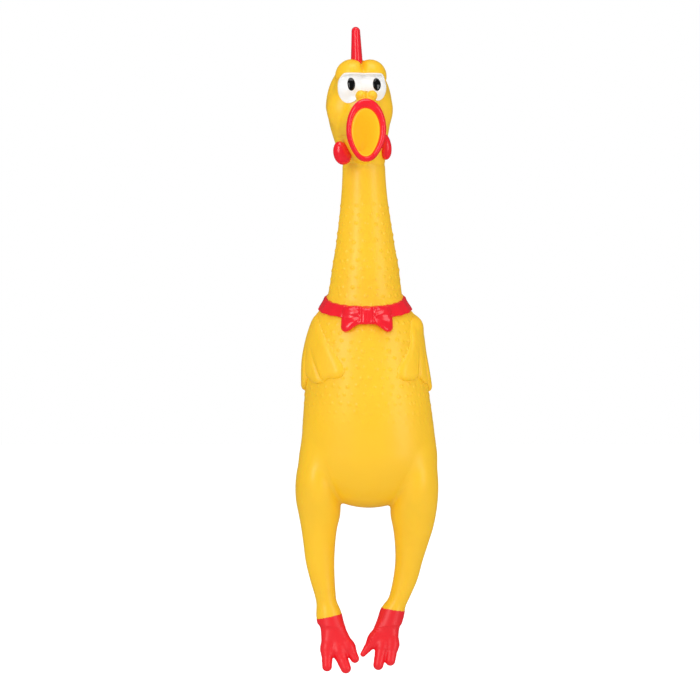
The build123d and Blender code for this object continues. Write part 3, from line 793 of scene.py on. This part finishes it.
for side, hand in ((-1, "left"), (1, "right")):
    own = side * mx > 0
    bare = above_paint(middle, side) > -PAINT_LAP
    for name, low, high, a, b, nodes in (
        ("skin_hip", LEG_CUTS[1], LEG_CUTS[0], "torso", f"leg_{hand}", [f"drumstick_{hand}"]),
        ("skin_shin", LEG_CUTS[2], LEG_CUTS[1], f"leg_{hand}", f"lower_leg_{hand}", [f"shank_{hand}"]),
        ("skin_ankle", -125.0, LEG_CUTS[2], f"lower_leg_{hand}", f"claw_{hand}", []),
    ):
        made = skin_piece(f"{name}_{hand}", own & bare & (mz >= low) & (mz < high), *nodes)
        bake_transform(made)
    x0 = -34 if side < 0 else -6  # where the foot's box begins
    toe_verts, toe_quads = field_mesh(
        lambda p, side=side: leg(p, side) - 0.12, (x0, -30, -153), (x0 + 40, 12, -108), FOOT_GRID
    )
    _, toe_normals = field_slope(lambda p, side=side: leg(p, side), toe_verts, NORMAL_STEP)
    painted = above_paint(toe_verts[toe_quads].mean(axis=1), side) < 0
    made = piece(f"painted_foot_{hand}", toe_verts, toe_quads[painted], toe_normals, satin_red)
    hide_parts(f"foot_{hand}")
    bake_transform(made)

head_verts, head_quads = field_mesh(skin, (-28, -42, 128), (24, 28, 196), HEAD_GRID)
_, head_normals = field_slope(skin, head_verts, NORMAL_STEP)
above = head_verts[head_quads].mean(axis=1)[:, 2] > NECK_CUTS[3] - 0.5
head_skin = piece("skin_head", head_verts, head_quads[above], head_normals, yellow)
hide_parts("head_shell", "nostril_ridge")
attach(head_skin, "head")

# ---------------------------------------------------------------- raised painted details
def detail(name, node, field, low, high, paint, slot, body="head"):
    """A raised detail, shaped inside a box in place of its node, that moves with one body."""
    made = shaped(name, field, low, high, TRIM_GRID, paint)
    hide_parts(node)
    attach(made, body)


def on_side(field, side):
    return lambda p: field(p, side)


detail("red_comb", "comb", comb, (-16, -24, 178), (6, 26, 216), red, "red_paint")
# The mouth lining carries painted shade and a painted glow in its material
detail("orange_mouth", "mouth_cup", mouth_lining, (-16, -38, 132), (14, 10, 168), mouth_shade_and_glow, "mouth_vinyl")
detail("red_lips", "beak_lip", lips, (-14, -38, 130), (16, -26, 171), red, "red_paint")
detail("red_wattle_left", "wattle_left", on_side(wattle, -1), (-24, -28, 129), (2, 2, 150), red, "red_paint")
detail("red_wattle_right", "wattle_right", on_side(wattle, 1), (-4, -26, 130), (22, 4, 154), red, "red_paint")
detail("white_of_eyes", "eye_whites", eyes, (-24, -34, 162), (18, 4, 187), white, "white_paint")
for side, hand, low, high in (
    (-1, "left", (-18, -30, 170), (-2, -6, 183)),
    (1, "right", (-2, -30, 170), (13, -6, 183)),
):
    detail(f"black_pupil_{hand}", f"pupil_{hand}", on_side(pupil, side), low, high, black, "black_paint")
detail("red_collar", "collar_band", collar, (-30, -28, 44), (30, 28, 68), red, "red_paint", "torso")

bow_tie = shaped("red_bow", bow, (-18, -34, 37), (18, -8, 58), TRIM_GRID, red)
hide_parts("bow_knot", "bow_loop_left", "bow_loop_right")
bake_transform(bow_tie)

for node, paint in (
    ("squeaker_housing", plastic),
    ("squeaker_plug", plastic),
    ("reed_channel", plastic),
    ("reed_clamp", plastic),
    ("reed", film),
):
    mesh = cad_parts[node].data
    mesh.materials.clear()
    mesh.materials.append(paint)

# ---------------------------------------------------------------- stage, light and camera
backdrop = bpy.data.materials.new("backdrop")
backdrop.use_nodes = True
paper = backdrop.node_tree.nodes["Principled BSDF"]
paper.inputs["Base Color"].default_value = (0.9, 0.9, 0.9, 1)
paper.inputs["Roughness"].default_value = 0.9
paper.inputs["Emission Color"].default_value = (1, 1, 1, 1)
seen = backdrop.node_tree.nodes.new("ShaderNodeLightPath")
shine = backdrop.node_tree.nodes.new("ShaderNodeMapRange")
shine.inputs["To Min"].default_value = 0.1
shine.inputs["To Max"].default_value = 0.6
backdrop.node_tree.links.new(seen.outputs["Is Camera Ray"], shine.inputs["Value"])
backdrop.node_tree.links.new(shine.outputs["Result"], paper.inputs["Emission Strength"])


def sheet_of(name, corners):
    """A flat sheet of the backdrop, kept out of the glossy reflections."""
    mesh = bpy.data.meshes.new(name)
    mesh.from_pydata(corners, [], [tuple(range(len(corners)))])
    mesh.materials.append(backdrop)
    made = bpy.data.objects.new(name, mesh)
    made.visible_glossy = False
    bpy.context.scene.collection.objects.link(made)


sheet_of("floor", [(-6, -6, -0.2), (6, -6, -0.2), (6, 6, -0.2), (-6, 6, -0.2)])


def lamp(name, place, aim, size, power):
    """A soft rectangular light, metres and watts."""
    data = bpy.data.lights.new(name, "AREA")
    data.shape = "RECTANGLE"
    data.size, data.size_y = size
    data.energy = power
    made = bpy.data.objects.new(name, data)
    made.location = place
    made.rotation_mode = "QUATERNION"
    made.rotation_quaternion = (Vector(aim) - Vector(place)).to_track_quat("-Z", "Y")
    bpy.context.scene.collection.objects.link(made)


lamp("key", (-0.75, -0.95, 0.55), (0, 0, 0.03), (0.4, 0.9), 5.2)
lamp("fill", (0.95, -0.7, 0.25), (0, 0, 0.02), (0.5, 0.9), 3.2)
lamp("top", (0.0, -0.2, 1.1), (0, 0, 0.05), (0.8, 0.6), 3.0)

world = bpy.data.worlds.new("studio")
bpy.context.scene.world = world
world.use_nodes = True
sky = world.node_tree
sky.nodes["Background"].inputs["Color"].default_value = (1, 1, 1, 1)
rays = sky.nodes.new("ShaderNodeLightPath")
# The room is white to the eye, softer as a light, and dim in reflections, so the colours stay deep
dim = sky.nodes.new("ShaderNodeMapRange")
dim.inputs["To Min"].default_value = 0.66
dim.inputs["To Max"].default_value = 0.08
sky.links.new(rays.outputs["Is Glossy Ray"], dim.inputs["Value"])
glow = sky.nodes.new("ShaderNodeMapRange")
glow.inputs["To Max"].default_value = 1.0
sky.links.new(dim.outputs["Result"], glow.inputs["To Min"])
sky.links.new(rays.outputs["Is Camera Ray"], glow.inputs["Value"])
sky.links.new(glow.outputs["Result"], sky.nodes["Background"].inputs["Strength"])
bpy.context.scene.view_settings.view_transform = "Standard"

lens = bpy.data.cameras.new("camera")
lens.lens, lens.sensor_width = 166, 36
camera = bpy.data.objects.new("camera", lens)
camera.location = (-0.0089, -1.8, 0.0299)
camera.rotation_mode = "QUATERNION"
camera.rotation_quaternion = Vector((0, 1, 0)).to_track_quat("-Z", "Y")
bpy.context.scene.collection.objects.link(camera)
bpy.context.scene.camera = camera
